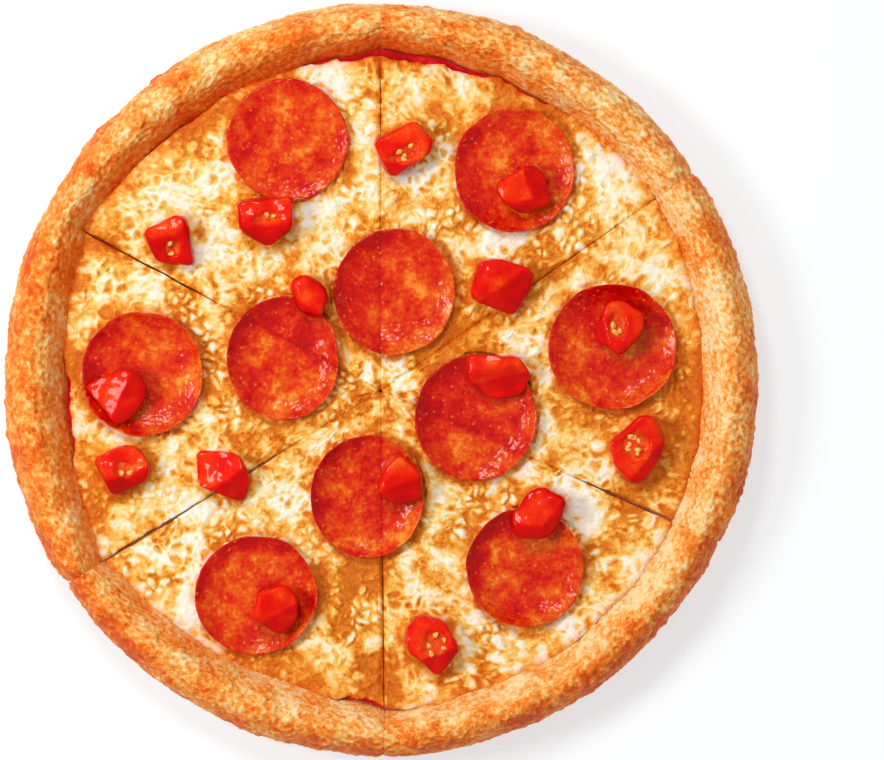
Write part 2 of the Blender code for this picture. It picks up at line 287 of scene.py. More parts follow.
class Shade:
    # a material's nodes, added one after another; colours are as seen on screen, 0 to 255
    def __init__(self, name, roughness, specular=0.5, sheenTone=(255, 255, 255), coat=0.0, coatRoughness=0.1):
        self.material = bpy.data.materials.new(name)
        self.material.use_nodes = True
        self.nodes = self.material.node_tree.nodes
        self.links = self.material.node_tree.links
        self.shader = self.nodes["Principled BSDF"]
        self.shader.inputs["Roughness"].default_value = roughness
        self.shader.inputs["Specular IOR Level"].default_value = specular
        self.shader.inputs["Specular Tint"].default_value = (*tone(*sheenTone), 1)
        self.shader.inputs["Coat Weight"].default_value = coat
        self.shader.inputs["Coat Roughness"].default_value = coatRoughness
        self.place = self.nodes.new("ShaderNodeTexCoord").outputs["Object"]

    def put(self, socket, value):
        if isinstance(value, bpy.types.NodeSocket):
            self.links.new(value, socket)
        else:
            socket.default_value = value

    def noise(self, size, detail=3.0, roughness=0.55, distortion=0.0, stretch=None, place=None):
        # size is the width of a blotch in millimetres
        node = self.nodes.new("ShaderNodeTexNoise")
        node.inputs["Scale"].default_value = 1 / (size * mm)
        node.inputs["Detail"].default_value = detail
        node.inputs["Roughness"].default_value = roughness
        node.inputs["Distortion"].default_value = distortion
        place = place or self.place
        if stretch:
            mapping = self.nodes.new("ShaderNodeMapping")
            mapping.inputs["Scale"].default_value = stretch
            self.links.new(place, mapping.inputs["Vector"])
            place = mapping.outputs["Vector"]
        self.links.new(place, node.inputs["Vector"])
        return node.outputs["Fac"]

    def cells(self, size):
        node = self.nodes.new("ShaderNodeTexVoronoi")
        node.inputs["Scale"].default_value = 1 / (size * mm)
        self.links.new(self.place, node.inputs["Vector"])
        return node.outputs["Distance"]

    def tint(self, name, output="Fac"):
        node = self.nodes.new("ShaderNodeAttribute")
        node.attribute_name = name
        return node.outputs[output]

    def add(self, value, pattern, weight):
        # adds a pattern that runs from 0 to 1, so that its middle leaves the value as it is
        node = self.nodes.new("ShaderNodeMath")
        node.operation = "MULTIPLY_ADD"
        self.put(node.inputs[0], self.math("SUBTRACT", pattern, 0.5))
        node.inputs[1].default_value = weight
        self.put(node.inputs[2], value)
        return node.outputs[0]

    def math(self, operation, first, second=0.0):
        node = self.nodes.new("ShaderNodeMath")
        node.operation = operation
        self.put(node.inputs[0], first)
        self.put(node.inputs[1], second)
        return node.outputs[0]

    def range(self, value, low, high, to=(0.0, 1.0)):
        node = self.nodes.new("ShaderNodeMapRange")
        node.interpolation_type = "SMOOTHSTEP"
        self.put(node.inputs["Value"], value)
        node.inputs["From Min"].default_value = low
        node.inputs["From Max"].default_value = high
        node.inputs["To Min"].default_value = to[0]
        node.inputs["To Max"].default_value = to[1]
        return node.outputs["Result"]

    def ramp(self, value, stops):
        node = self.nodes.new("ShaderNodeValToRGB")
        elements = node.color_ramp.elements
        while len(elements) < len(stops):
            elements.new(0.5)
        for element, (position, colour) in zip(elements, stops):
            element.position = position
            element.color = (*tone(*colour), 1)
        self.put(node.inputs["Fac"], value)
        return node.outputs["Color"]

    def mix(self, share, first, second):
        node = self.nodes.new("ShaderNodeMix")
        node.data_type = "RGBA"
        self.put(node.inputs["Factor"], share)
        for socket, value in ((node.inputs[6], first), (node.inputs[7], second)):
            self.put(socket, value if isinstance(value, bpy.types.NodeSocket) else (*tone(*value), 1))
        return node.outputs[2]

    def bump(self, height, distance, strength):
        node = self.nodes.new("ShaderNodeBump")
        node.inputs["Distance"].default_value = distance * mm
        node.inputs["Strength"].default_value = strength
        self.links.new(height, node.inputs["Height"])
        self.links.new(node.outputs["Normal"], self.shader.inputs["Normal"])

    def colour(self, value):
        self.put(self.shader.inputs["Base Color"], value)

    def gloss(self, value):
        self.put(self.shader.inputs["Roughness"], value)


def tone(*seen):
    # a colour as seen on screen made linear
    return tuple(((v / 255 + 0.055) / 1.055) ** 2.4 if v > 10 else v / 255 / 12.92 for v in seen)


# Stage: a pale floor, soft lights from the left and from the top, and a camera straight above

stage = {
    "viewWidth": 297.8,      # millimetres across the picture at the rim's widest height
    "viewCentre": (20.5, -0.2),
    "cameraHeight": 2400.0,
    "sensorWidth": 36.0,
    "floorSize": 6000.0,
    "floorDrop": 0.2,        # how far the floor lies below the pizza's underside
    "floorTones": ((170, 172, 175), (174, 176, 179)),
    "floorMottle": 60.0,
    "floorGlow": 0.59,       # keeps the shadow on the floor pale
    "glowTone": (251, 254, 255),   # slightly cool, against the crust's warm reflection
    "skyStrength": 0.50,
    "lightTone": (1.0, 0.98, 0.94),
    # where each light comes from, seen from above, its height in degrees, distance, size and power
    "lights": {
        "sideLight": (174.0, 50.0, 1100.0, 300.0, 5.2),
        "topLight": (112.0, 58.0, 1100.0, 240.0, 4.0),
    },
}


def addLight(name, direction, elevation, distance, size, power):
    light = bpy.data.lights.new(name, "AREA")
    light.shape = "DISK"
    light.size = size * mm
    light.energy = power
    light.color = stage["lightTone"]
    lamp = bpy.data.objects.new(name, light)
    scene.collection.objects.link(lamp)
    aside = headings(direction)[0] * math.cos(math.radians(elevation))
    towards = Vector((aside[0], aside[1], math.sin(math.radians(elevation))))
    lamp.location = towards * distance * mm
    lamp.rotation_euler = towards.to_track_quat("Z", "Y").to_euler()


def buildStage():
    bpy.ops.mesh.primitive_plane_add(size=stage["floorSize"] * mm, location=(0, 0, -stage["floorDrop"] * mm))
    floor = bpy.context.object
    floor.name = "floor"
    shade = Shade("paleFloor", 0.9, specular=0.1)
    mottle = shade.noise(stage["floorMottle"], detail=2)
    darker, paler = stage["floorTones"]
    shade.colour(shade.mix(shade.range(mottle, 0.3, 0.7), darker, paler))
    shade.shader.inputs["Emission Color"].default_value = (*tone(*stage["glowTone"]), 1)
    shade.shader.inputs["Emission Strength"].default_value = stage["floorGlow"]
    floor.data.materials.append(shade.material)

    world = bpy.data.worlds.new("softSky")
    world.use_nodes = True
    background = world.node_tree.nodes["Background"]
    background.inputs["Color"].default_value = (1, 1, 1, 1)
    background.inputs["Strength"].default_value = stage["skyStrength"]
    scene.world = world
    for name, placing in stage["lights"].items():
        addLight(name, *placing)

    camera = bpy.data.cameras.new("camera")
    camera.sensor_width = stage["sensorWidth"]
    distance = stage["cameraHeight"] - layout["widestHeight"]
    camera.lens = camera.sensor_width * distance / stage["viewWidth"]
    camera.clip_end = 10   # metres
    view = bpy.data.objects.new("camera", camera)
    view.location = (stage["viewCentre"][0] * mm, stage["viewCentre"][1] * mm, stage["cameraHeight"] * mm)
    scene.collection.objects.link(view)
    scene.camera = view
    scene.view_settings.view_transform = "Standard"


buildStage()
print("stage ready")


# Toppings' places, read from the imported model

roundCount, chunkCount = 10, 16


def boxOf(*nodes):
    corners = np.array([[*corner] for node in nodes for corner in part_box(node)]) / mm
    return corners.min(axis=0), corners.max(axis=0)


def findRounds():
    found = []
    for number in range(1, roundCount + 1):
        whole = f"pepperoni_{number}"
        nodes = [whole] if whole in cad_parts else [f"{whole}_a", f"{whole}_b"]
        low, high = boxOf(*nodes)
        middle = (low + high) / 2
        half = (high - low) / 2
        found.append({"number": number, "name": whole, "nodes": nodes, "middle": middle[:2], "half": half[:2],
                      "base": low[2]})
    return found


def outlineOf(points):
    # the corners of a chunk seen from above, in order round it
    hull = bmesh.new()
    for x, y in points:
        hull.verts.new((x, y, 0))
    bmesh.ops.convex_hull(hull, input=hull.verts)
    border = [vert for vert in hull.verts if vert.link_edges]
    corners = np.array([[vert.co.x, vert.co.y] for vert in border])
    hull.free()
    around = corners - corners.mean(axis=0)
    return corners[np.argsort(np.arctan2(around[:, 1], around[:, 0]))]


def findChunks():
    found = []
    for number in range(1, chunkCount + 1):
        name = f"tomato_{number}"
        points = readPoints(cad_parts[name].data) / mm
        low, high = points.min(axis=0), points.max(axis=0)
        outline = outlineOf(np.unique(points[:, :2].round(2), axis=0))
        found.append({"name": name, "outline": outline, "low": low, "high": high, "middle": (low + high) / 2})
    return found


rounds = findRounds()
chunks = findChunks()
print("toppings found:", len(rounds), "rounds,", len(chunks), "chunks")


def distanceTo(outline, x, y):
    # how far each point lies outside a convex outline, less than 0 inside it
    far = np.full(len(x), -1e9)
    following = np.roll(outline, -1, axis=0)
    for (ax, ay), (bx, by) in zip(outline, following):
        length = math.hypot(bx - ax, by - ay)
        if length > 1e-6:
            far = np.maximum(far, ((x - ax) * (by - ay) - (y - ay) * (bx - ax)) / length)
    return far


# Crust: each slice's dough with its risen rim

crust = {
    "angleStep": 0.26,
    "heelSteps": 12,
    "outerSteps": 40,
    "innerSteps": 36,
    "shrink": 0.6,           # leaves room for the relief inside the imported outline
    "lump": (0.9, 17.0),     # height, width
    "wrinkle": (0.5, 7.5),
    "pebble": (0.54, 1.65),
    "pebbleStretch": 0.9,    # below 1 draws the pebbles out along the rim
    "wallTurn": (62.0, 25.0),    # degrees above its foot between which the rim turns into its inner wall
    "wallCalm": 0.45,        # how much weaker the relief is there
    "reliefRise": 3.0,       # the relief fades out over this height above the floor
    "blisters": 30,          # on each slice
    "blisterWidth": (1.4, 3.8),
    "blisterHeight": (0.25, 0.8),
    "blisterDark": (-0.2, 0.6),
    "pinchWidth": 1.8,
    "cutDark": (0.12, 1.5),  # how much darker the rim is beside a cut, and over what width
    "openShare": 0.12,       # of the cheese's openings at the cuts
    # how pale the rim is, at five places from its foot to the outline
    "bakePlaces": (0.0, 0.3, 0.56, 0.8, 1.0),
    "bakeLevel": (0.68, 0.69, 0.64, 0.53, 0.5),
    # sides painted darker where the lights don't reach and paler where they fall, with some toasting:
    # direction, spread, and what each adds at those five places
    "toastedAndShaded": [
        (110.0, 50.0, (-0.38, -0.3, -0.08, 0.08, 0.07)),
        (200.0, 50.0, (-0.1, -0.12, -0.17, -0.22, -0.24)),
        (308.0, 52.0, (0.1, 0.08, -0.06, -0.24, -0.4)),
    ],
    "mottle": 0.15,
    "mottleParts": (0.7, 0.3, 0.6),   # shares of the pebbles, the patches and the broad areas
    "patchWidth": 3.6,
    "broadWidth": 13.0,
    "scorch": 0.35,          # how strongly blisters and cuts darken it
    "soleHeight": 3.5,       # up to which the underside's look reaches
    "soleWidth": 14.0,
    "poreWidth": 2.2,        # in the crumb at the cuts
    "grain": (1.1, 0.9),     # width in millimetres and weight of the mottling, then of the finest grains
    "fine": (0.55, 0.5),
    "bump": (0.7, 0.85),     # depth in millimetres and strength
    "sheenTone": (255, 210, 140),
    "tones": [
        (0.05, (224, 80, 18)),
        (0.27, (240, 112, 30)),
        (0.48, (250, 148, 56)),
        (0.68, (255, 190, 104)),
        (0.92, (255, 230, 176)),
    ],
    "wallShare": 0.68,       # how strongly the inner wall takes its tones of sauce stain and painted shade
    "wallSecond": 0.6,       # how much of that its second shaded side takes
    "wallStainAndShadeTones": [(0.1, (250, 76, 18)), (0.8, (255, 140, 50))],
    "soleTones": [(0.3, (150, 84, 34)), (0.5, (205, 138, 70)), (0.7, (236, 186, 120))],
    "crumbTones": [(0.1, (214, 168, 104)), (0.45, (248, 222, 170))],
    "seed": 7,
}


def crustSection():
    # reach is 0 to 1 over the floor and 1 to 2 over the rim; then height, share of relief and inner wall
    widest, floorTop, rimTop = layout["widestHeight"], layout["floorTop"], layout["rimTop"]
    heel, crest = layout["heelShare"], layout["crestShare"]
    section = [(reach, 0.0, 0.0, 0.0) for reach in (0, 0.25, 0.5, 0.75, 1.0, 1.0 + heel * 0.6)]
    for turn in np.radians(np.linspace(-90, 0, crust["heelSteps"] // coarse, endpoint=False)):
        lifted = 1 + math.sin(turn)
        section.append((1 + heel + (1 - heel) * math.cos(turn), widest * lifted, lifted, 0.0))
    for turn in np.radians(np.linspace(0, 90, crust["outerSteps"] // coarse, endpoint=False)):
        reach = 1 + crest + (1 - crest) * math.cos(turn)
        section.append((reach, widest + (rimTop - widest) * math.sin(turn), 1.0, 0.0))
    for turn in np.linspace(90, 0, crust["innerSteps"] // coarse):
        height = floorTop + (rimTop - floorTop) * math.sin(math.radians(turn))
        wall = float(smoothStep(*crust["wallTurn"], turn))
        relief = min(1.0, (height - floorTop) / crust["reliefRise"]) * (1 - crust["wallCalm"] * wall)
        section.append((1 + crest * turn / 90, height, relief, wall))
    section += [(0.9, floorTop, 0.0, 1.0), (0.5, floorTop, 0.0, 1.0), (0.0, floorTop, 0.0, 1.0)]
    return np.array(section)


def crustMaterial():
    shade = Shade("bakedCrust", 0.5, 0.3, crust["sheenTone"])
    alongRim = shade.tint("alongRim", "Vector")
    (size, weight), (fineSize, fineWeight) = crust["grain"], crust["fine"]
    grains = shade.noise(size, detail=4, roughness=0.6, stretch=(0.95, 1, 1), place=alongRim)
    fine = shade.noise(fineSize, detail=2, roughness=0.6, place=alongRim)
    level = shade.add(shade.tint("bakeAndShading"), grains, weight)
    level = shade.add(level, fine, fineWeight)
    base = shade.ramp(level, crust["tones"])
    # the inner wall's sauce stain and painted shade, strongest on the sides the lights don't reach
    wall = shade.math("MULTIPLY", shade.tint("wall"), crust["wallShare"])
    base = shade.mix(wall, base, shade.ramp(level, crust["wallStainAndShadeTones"]))
    sole = shade.ramp(shade.noise(crust["soleWidth"], detail=5, roughness=0.6), crust["soleTones"])
    base = shade.mix(shade.tint("under"), base, sole)
    crumb = shade.ramp(shade.cells(crust["poreWidth"]), crust["crumbTones"])
    shade.colour(shade.mix(shade.tint("crumb"), base, crumb))
    shade.bump(shade.math("ADD", grains, shade.math("MULTIPLY", fine, 0.6)), *crust["bump"])
    return shade.material


def crustTwin(piece, section):
    # one slice in reach, height and turn; each vertex knows its place in the section
    bm = bmesh.new()
    station = bm.verts.layers.float.new("station")
    loop = []
    for index, (reach, height) in enumerate(section[:, :2]):
        vert = bm.verts.new((reach, 0, height))
        vert[station] = index
        loop.append(vert)
    side = bm.faces.new(loop)
    turn = piece["end"] - piece["start"]
    bmesh.ops.spin(bm, geom=[side], cent=(0, 0, 0), axis=(0, 0, 1), angle=math.radians(turn),
                   steps=round(turn / crust["angleStep"] / coarse), use_duplicate=False)
    bmesh.ops.remove_doubles(bm, verts=[v for v in bm.verts if v.co.xy.length < 1e-6], dist=1e-5)
    mesh = meshFrom(bm, "crust")
    stations = readValues(mesh, "station")
    mesh.attributes.remove(mesh.attributes["station"])
    return mesh, stations.round().astype(int)


def sectionNormals(profile):
    slope = np.gradient(profile, axis=0)
    slope /= np.linalg.norm(slope, axis=1)[:, None] + 1e-9
    return np.column_stack((slope[:, 1], -slope[:, 0]))


def addBlisters(points, takes, push, rng):
    # swells the dough in small blisters and says how scorched it is there
    scorch = np.zeros(len(points))
    for spot in rng.choice(np.flatnonzero(takes > 0.7), crust["blisters"]):
        width = rng.uniform(*crust["blisterWidth"])
        bubble = np.clip(1 - (np.linalg.norm(points - points[spot], axis=1) / width) ** 2, 0, 1)
        push += rng.uniform(*crust["blisterHeight"]) * bubble ** 1.5
        scorch += rng.uniform(*crust["blisterDark"]) * smoothStep(0, 0.6, bubble)
    return scorch


def paintBakeAndShading(mesh, angles, reach, along, pebbles, scorch, wall):
    broad = grain(along, crust["broadWidth"], 4, 2)
    patchy = grain(along * (0.6, 1, 1), crust["patchWidth"], 5, 2)
    finePart, patchPart, broadPart = crust["mottleParts"]
    mottle = evened(finePart * pebbles + patchPart * patchy + broadPart * broad, 0, crust["mottle"])
    level = np.interp(reach - 1, crust["bakePlaces"], crust["bakeLevel"])
    # painted light and shade by side, with some toasting, on top of the bake
    lobes = []
    for side, width, depths in crust["toastedAndShaded"]:
        turned = (angles - side + 180) % 360 - 180
        lobes.append(np.exp(-(turned / width) ** 2))
        level = level + lobes[-1] * np.interp(reach - 1, crust["bakePlaces"], depths)
    paint(mesh, "bakeAndShading", level + mottle - crust["scorch"] * scorch)
    # sauce stain and painted shade on the inner wall, on the sides the lights don't reach
    paint(mesh, "wall", wall * np.maximum(lobes[0], crust["wallSecond"] * lobes[1]))


def buildCrust():
    material = crustMaterial()
    section = crustSection()
    profile = section[:, :2] * (layout["rimDepth"], 1.0)
    outward = sectionNormals(profile)
    steps = np.diff(profile, axis=0)
    travelled = np.concatenate(([0], np.cumsum(np.hypot(steps[:, 0], steps[:, 1]))))
    lump, lumpWidth = crust["lump"]
    cutDark, darkWidth = crust["cutDark"]
    rng = np.random.default_rng(crust["seed"])
    for number, piece in enumerate(layout["slices"], start=1):
        mesh, stations = crustTwin(piece, section)
        unit = readPoints(mesh)
        reach = np.hypot(unit[:, 0], unit[:, 1])
        angles = piece["start"] + np.degrees(np.arctan2(unit[:, 1], unit[:, 0])) * (reach > 1e-6)
        foot, rim = alongSlice(piece, angles)
        rim = rim - crust["shrink"]
        length = foot * np.minimum(reach, 1) + (rim - foot) * np.maximum(reach - 1, 0)
        rays = headings(angles)
        flat = sliceTip(piece) + rays * length[:, None]
        height = unit[:, 2]
        risen = np.maximum(height - layout["floorTop"], 0) / (layout["rimTop"] - layout["floorTop"])
        height = height + lump * risen * ripple(flat[:, 0], flat[:, 1], lumpWidth, 3)
        points = np.column_stack((flat, height))

        takes, wall = section[stations, 2], section[stations, 3]
        around = np.radians(angles) * layout["rimMiddle"]
        along = atHeight(np.column_stack((around, travelled[stations])), number * 9.0)
        pebbles = grain(along * (crust["pebbleStretch"], 1, 1), crust["pebble"][1], 1)
        wrinkles = grain(points * (1, 1, 0.7), crust["wrinkle"][1], 2)
        push = crust["pebble"][0] * pebbles + crust["wrinkle"][0] * wrinkles
        scorch = addBlisters(points, takes, push, rng)
        for away, depth in zip(awayFromCuts(piece, angles, length), piece["pinch"]):
            push -= depth * np.exp(-away / crust["pinchWidth"])
            scorch -= cutDark * np.exp(-away / darkWidth)
        push = takes * push
        points[:, :2] += rays * (outward[stations, 0] * push)[:, None]
        points[:, 2] += outward[stations, 1] * push
        points[:, :2] = meetNeighbours(piece, angles, length, points[:, :2], crust["openShare"])
        writePoints(mesh, keepInside(points))

        paintBakeAndShading(mesh, angles, reach, along, pebbles, scorch, wall)
        paint(mesh, "under", 1 - smoothStep(0.0, crust["soleHeight"], unit[:, 2]))
        paint(mesh, "alongRim", along * mm)
        corners = np.empty(len(mesh.polygons), np.int32)
        mesh.polygons.foreach_get("loop_total", corners)
        paint(mesh, "crumb", corners > 4, "FACE")
        showPiece(f"crust_{number}", mesh, material, "crust", f"dough_{number}")


buildCrust()
print("crust baked")


# Sauce: a layer that shows as a crimson line between the cheese and the rim

sauce = {
    "bottom": 11.1,
    "top": 12.3,
    "bead": (1.1, 2.2),      # height and width of the bead along the rim
    "inset": 0.1,
    "openShare": 0.4,        # of the cheese's openings at the cuts
    "relief": (0.25, 3.0),
    "across": 150,
    "outward": 40,
    "crowding": 0.35,        # below 1 puts more of the mesh near the rim
    "blotchWidth": 3.5,
    "grainWidth": 1.2,
    "bump": (0.4, 0.5),
    "sheenTone": (255, 150, 130),
    "tones": [(0.3, (160, 4, 18)), (0.55, (198, 12, 34)), (0.75, (216, 44, 30))],
}


def sauceMaterial():
    shade = Shade("tomatoSauce", 0.3, 0.4, sauce["sheenTone"])
    shade.colour(shade.ramp(shade.noise(sauce["blotchWidth"], detail=4), sauce["tones"]))
    shade.bump(shade.noise(sauce["grainWidth"], detail=3), *sauce["bump"])
    return shade.material


def buildSauce():
    material = sauceMaterial()
    for number, piece in enumerate(layout["slices"], start=1):
        mesh, unit, angles = layerSheet(piece, sauce, f"sauceLayer_{number}")
        foot, _ = alongSlice(piece, angles, sauce["inset"])
        inner = layout["tipInset"]
        length = inner + (foot - inner) * unit[:, 1] ** sauce["crowding"]
        flat = sliceTip(piece) + headings(angles) * length[:, None]
        flat = meetNeighbours(piece, angles, length, flat, sauce["openShare"])
        points = atHeight(flat, sauce["bottom"])
        bead = sauce["bead"][0] * smoothStep(sauce["bead"][1], 0, foot - length)
        top = sauce["top"] + bead + sauce["relief"][0] * grain(points, sauce["relief"][1], 5)
        points[:, 2] = np.where(unit[:, 2] > 0.5, top, sauce["bottom"])
        writePoints(mesh, points)
        showPiece(f"sauceLayer_{number}", mesh, material, "sauce", f"sauce_{number}")


buildSauce()
print("sauce spread")


# Pepperoni's bowl shape is needed by the cheese that it sinks into

pepperoni = {
    "around": 160,
    "rings": 52,
    "thickness": 1.5,
    "sink": 1.3,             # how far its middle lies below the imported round
    "cup": 3.2,              # how far its edge curls up from the middle
    "curl": 4.8,             # higher numbers keep the middle flat and the edge steep
    "warp": (0.26, 0.16),    # shares by which the curl varies round the edge, in two and in three lobes
    "unevenRadius": 0.028,
    "swell": (0.3, 6.5),
    "fleck": (0.12, 1.15),
    "spiceAndShade": (0.53, 0.14),   # mean and spread of its colour, red at 0 and orange at 1
    "mottle": ((1.0, 9.0), (0.7, 3.2)),    # share and width of its broad areas and of its patches
    "fleckPaler": 0.3,
    # each round's side painted darker as shade, how dark that painted shade is, and its share of the cup
    "sides": {
        1: (150, 0.12, 0.5),
        2: (200, 0.3, 0.9),
        3: (150, 0.3, 1.0),
        4: (150, 0.35, 1.0),
        5: (172, 0.5, 1.2),
        6: (160, 0.45, 1.0),
        7: (100, 0.35, 1.1),
        8: (140, 0.4, 1.15),
        9: (110, 0.32, 1.0),
        10: (125, 0.6, 1.4),
    },
    "cuts": {3: 90.0, 4: 151.7, 6: 336.0, 8: 270.6},   # direction of the cut through a round
    # halves painted darker as shade
    "shadedHalves": {"3_a": 0.10, "4_b": 0.14, "6_a": 0.16, "8_b": 0.04},
    "cutDark": (0.2, 0.8),   # painted shade: how much darker a cut's edge is, and over what width
    "cutDrop": (0.5, 2.5),   # how far it sinks there, and over what width
    "tones": [
        (0.02, (184, 0, 0)),
        (0.24, (206, 6, 0)),
        (0.48, (220, 46, 0)),
        (0.72, (230, 90, 4)),
        (0.98, (246, 150, 48)),
    ],
    "fatTone": (244, 146, 66),
    "fatWidth": 2.4,         # flecks of fat, and how strongly they show
    "fatShare": 0.5,
    "grain": (1.4, 0.85),    # width in millimetres and weight
    "fineWidth": 0.6,
    "gloss": (0.18, 0.36),   # roughness between which the oily face varies
    "bump": (0.8, 0.7),
    "sheenTone": (255, 150, 140),
    "seed": 21,
}


def bowlMiddle(item, q, turn):
    # height of the middle of a round's thickness, q from 0 at its middle to 1 at its edge
    level = item["base"] - pepperoni["sink"] + pepperoni["thickness"] / 2
    two, three = pepperoni["warp"]
    warp = 1 + two * np.cos(2 * turn + item["twist"]) + three * np.cos(3 * turn - item["twist"] * 1.7)
    return level + pepperoni["cup"] * item["cup"] * warp * np.clip(q, 0, 1.1) ** pepperoni["curl"]


def roundPolar(item, x, y):
    dx = (x - item["middle"][0]) / item["half"][0]
    dy = (y - item["middle"][1]) / item["half"][1]
    return np.hypot(dx, dy), np.arctan2(dy, dx)


twistRng = np.random.default_rng(pepperoni["seed"])
for item in rounds:
    item["twist"] = twistRng.uniform(0, math.tau)
    item["darkSide"], item["dark"], item["cup"] = pepperoni["sides"][item["number"]]


# Cheese: melted curds that rise round the toppings and thin out at the rim and the cuts

cheese = {
    "across": 190,
    "outward": 178,
    "crowding": 0.85,
    "bottom": 12.6,
    "level": 14.75,
    "swell": (0.65, 16.0),   # height, width
    "curd": (0.95, 3.6),
    "shred": (0.34, 1.7),
    "warp": (2.6, 9.0),      # how far curds and shreds are drawn out of shape, and over what width
    "looseWidth": 15.0,      # areas where the curds haven't run together
    "nettedWidth": 20.0,     # areas where pale strands rise round golden spots
    "nettedDepth": 1.9,      # above 1 turns the curds inside out there
    "mottleWidth": 6.5,
    "creamParts": (0.75, 0.8, 1.6, 0.5),   # what swell, mottle, curds and shreds add to the paleness
    "cream": (0.485, 0.28),  # mean and spread of the paleness
    "bubbles": 46,           # on each slice
    "bubbleWidth": (1.1, 3.0),
    "bubbleHeight": (0.15, 0.5),
    "bubbleCream": (-0.22, 0.16),
    "bubbleRing": (0.16, 0.26),      # how deep and how dark the ring round a bubble is
    "toppingLip": 2.4,       # width over which it rises to a topping
    "roundRadius": 21.0,     # of a round of pepperoni, near enough
    "clearance": 0.12,       # between it and a round's underside
    "climb": (0.5, 1.2, 7.0),        # how high it climbs a round: mean, variation, width of the waves
    "climbLimits": (0.05, 1.4),
    "chunkLip": (0.8, 2.2),  # how high it climbs a chunk, from the chunk's foot and from the cheese
    "ringShade": (0.2, 0.16),         # painted shade: how much darker it is round a round, and round a chunk
    "chunkRing": 1.5,
    "cutRound": 1.2,
    "meltWidth": 12.0,       # of the waves in how far a cut's edge has melted
    "cutDark": (0.16, 0.2, 1.4),     # painted shade: how much darker a cut's edge is: mean, variation, width
    "edgeRound": (1.6, 0.9),         # width and drop of the edge along the rim
    # painted shade along the rim: how much darker, and over what width
    "edgeDark": (0.2, 3.0),
    "overWall": 1.6,         # how far the edge leans out over the foot of the rim
    "leanWidth": 3.5,
    "thinnest": (0.35, 0.3),         # what is left above the sauce, and how softly that begins
    "darkest": (0.07, 0.1),
    "edgeStain": (0.45, 1.3),        # sauce in the cheese along the rim, and over what width
    "thinStain": (0.25, 0.5),        # the same where it is thin
    "oilAndShadeStain": 0.5,         # oil and painted shade round the toppings
    "seepWidth": 8.0,
    # where sauce shows along the rim: direction, spread, width
    "bare": [(85, 14, 2.3), (183, 8, 1.2), (268, 6, 1.1), (128, 7, 0.6), (62, 5, 0.6)],
    "bareUneven": (0.6, 5.0),
    "bareLeast": 0.15,
    "paler": 0.35,           # in the pale patches, and how much darker in the toasted ones
    "darker": 0.32,
    # patches: x and y from the middle, width
    "pale": [
        (-65, 57, 11), (100, 24, 9), (65, -44, 9), (-62, -74, 10), (42, -95, 13), (-18, 95, 8), (-20, 62, 11),
        (-60, -45, 8), (77, 69, 11), (-87, -63, 8), (-10, 80, 9), (37, -46, 9), (-33, 29, 9), (70, -66, 9),
        (-48, 9, 8), (-39, -57, 8), (12, 57, 9), (40, 49, 10), (46, -22, 7), (74, 27, 8),
    ],
    "toastedAndShaded": [
        (-86, 50, 11), (104, -25, 12), (107, 0, 9), (19, 11, 8), (92, -33, 9), (-1, -62, 12), (45, 91, 8),
        (-103, -8, 8), (90, -8, 7), (0, -98, 8), (-62, 84, 9), (-80, -38, 9), (76, -25, 9), (-63, -24, 7),
        (10, -78, 8), (0, 105, 8), (-11, 39, 7),
    ],
    "blotch": (2.6, 0.4),    # width in millimetres and weight of the browning, then of the finest grains
    "fine": (0.8, 0.32),
    "web": (3.0, 0.14),      # width and strength of the thin brown lines
    "webArea": 7.0,
    "lift": 0.03,            # makes all of it a little paler
    "bump": (0.6, 0.7),
    "sheenTone": (255, 220, 150),
    "tones": [
        (0.02, (204, 92, 16)),
        (0.20, (226, 130, 28)),
        (0.38, (246, 172, 66)),
        (0.56, (253, 206, 118)),
        (0.74, (255, 232, 182)),
        (0.95, (255, 247, 232)),
    ],
    "stainAndShadeTone": (214, 78, 20),
    "seed": 3,
}


def sauceShows(angles):
    gap = np.zeros(len(angles))
    for middle, spread, width in cheese["bare"]:
        gap = gap + width * np.exp(-((angles - middle) / spread) ** 2)
    variation, width = cheese["bareUneven"]
    uneven = 1 + variation * grain(atHeight(headings(angles) * 100), width, 9)
    return np.maximum(gap * uneven, 0) + cheese["bareLeast"]


def cheeseMaterial():
    shade = Shade("meltedCheese", 0.4, 0.4, cheese["sheenTone"])
    (blotchSize, blotchWeight), (fineSize, fineWeight) = cheese["blotch"], cheese["fine"]
    webSize, webWeight = cheese["web"]
    blotch = shade.noise(blotchSize, detail=4, roughness=0.6, distortion=0.5)
    fine = shade.noise(fineSize, detail=3, roughness=0.6)
    contour = shade.math("SUBTRACT", shade.noise(webSize, detail=1, distortion=0.2), 0.5)
    contour = shade.math("ABSOLUTE", contour)
    webbed = shade.range(shade.noise(cheese["webArea"]), 0.34, 0.56)
    web = shade.math("MULTIPLY", shade.range(contour, 0.09, 0.0), webbed)
    level = shade.add(shade.tint("cream"), blotch, blotchWeight)
    level = shade.add(level, fine, fineWeight)
    level = shade.math("SUBTRACT", level, shade.math("MULTIPLY", web, webWeight))
    level = shade.math("ADD", level, cheese["lift"])
    base = shade.ramp(level, cheese["tones"])
    # sauce and oil stains, and painted shade round the toppings, in one orange tone
    shade.colour(shade.mix(shade.tint("stainAndShade"), base, cheese["stainAndShadeTone"]))
    shade.bump(shade.math("ADD", fine, shade.math("MULTIPLY", blotch, 1.2)), *cheese["bump"])
    return shade.material


def patches(x, y, spots):
    share = np.zeros(len(x))
    for cx, cy, width in spots:
        share = np.maximum(share, np.exp(-((x - cx) ** 2 + (y - cy) ** 2) / (2 * width ** 2)))
    return share


def softFloor(values, least, softness):
    # keeps values above the least one without a crease
    return least + softness * np.logaddexp(0, (values - least) / softness)


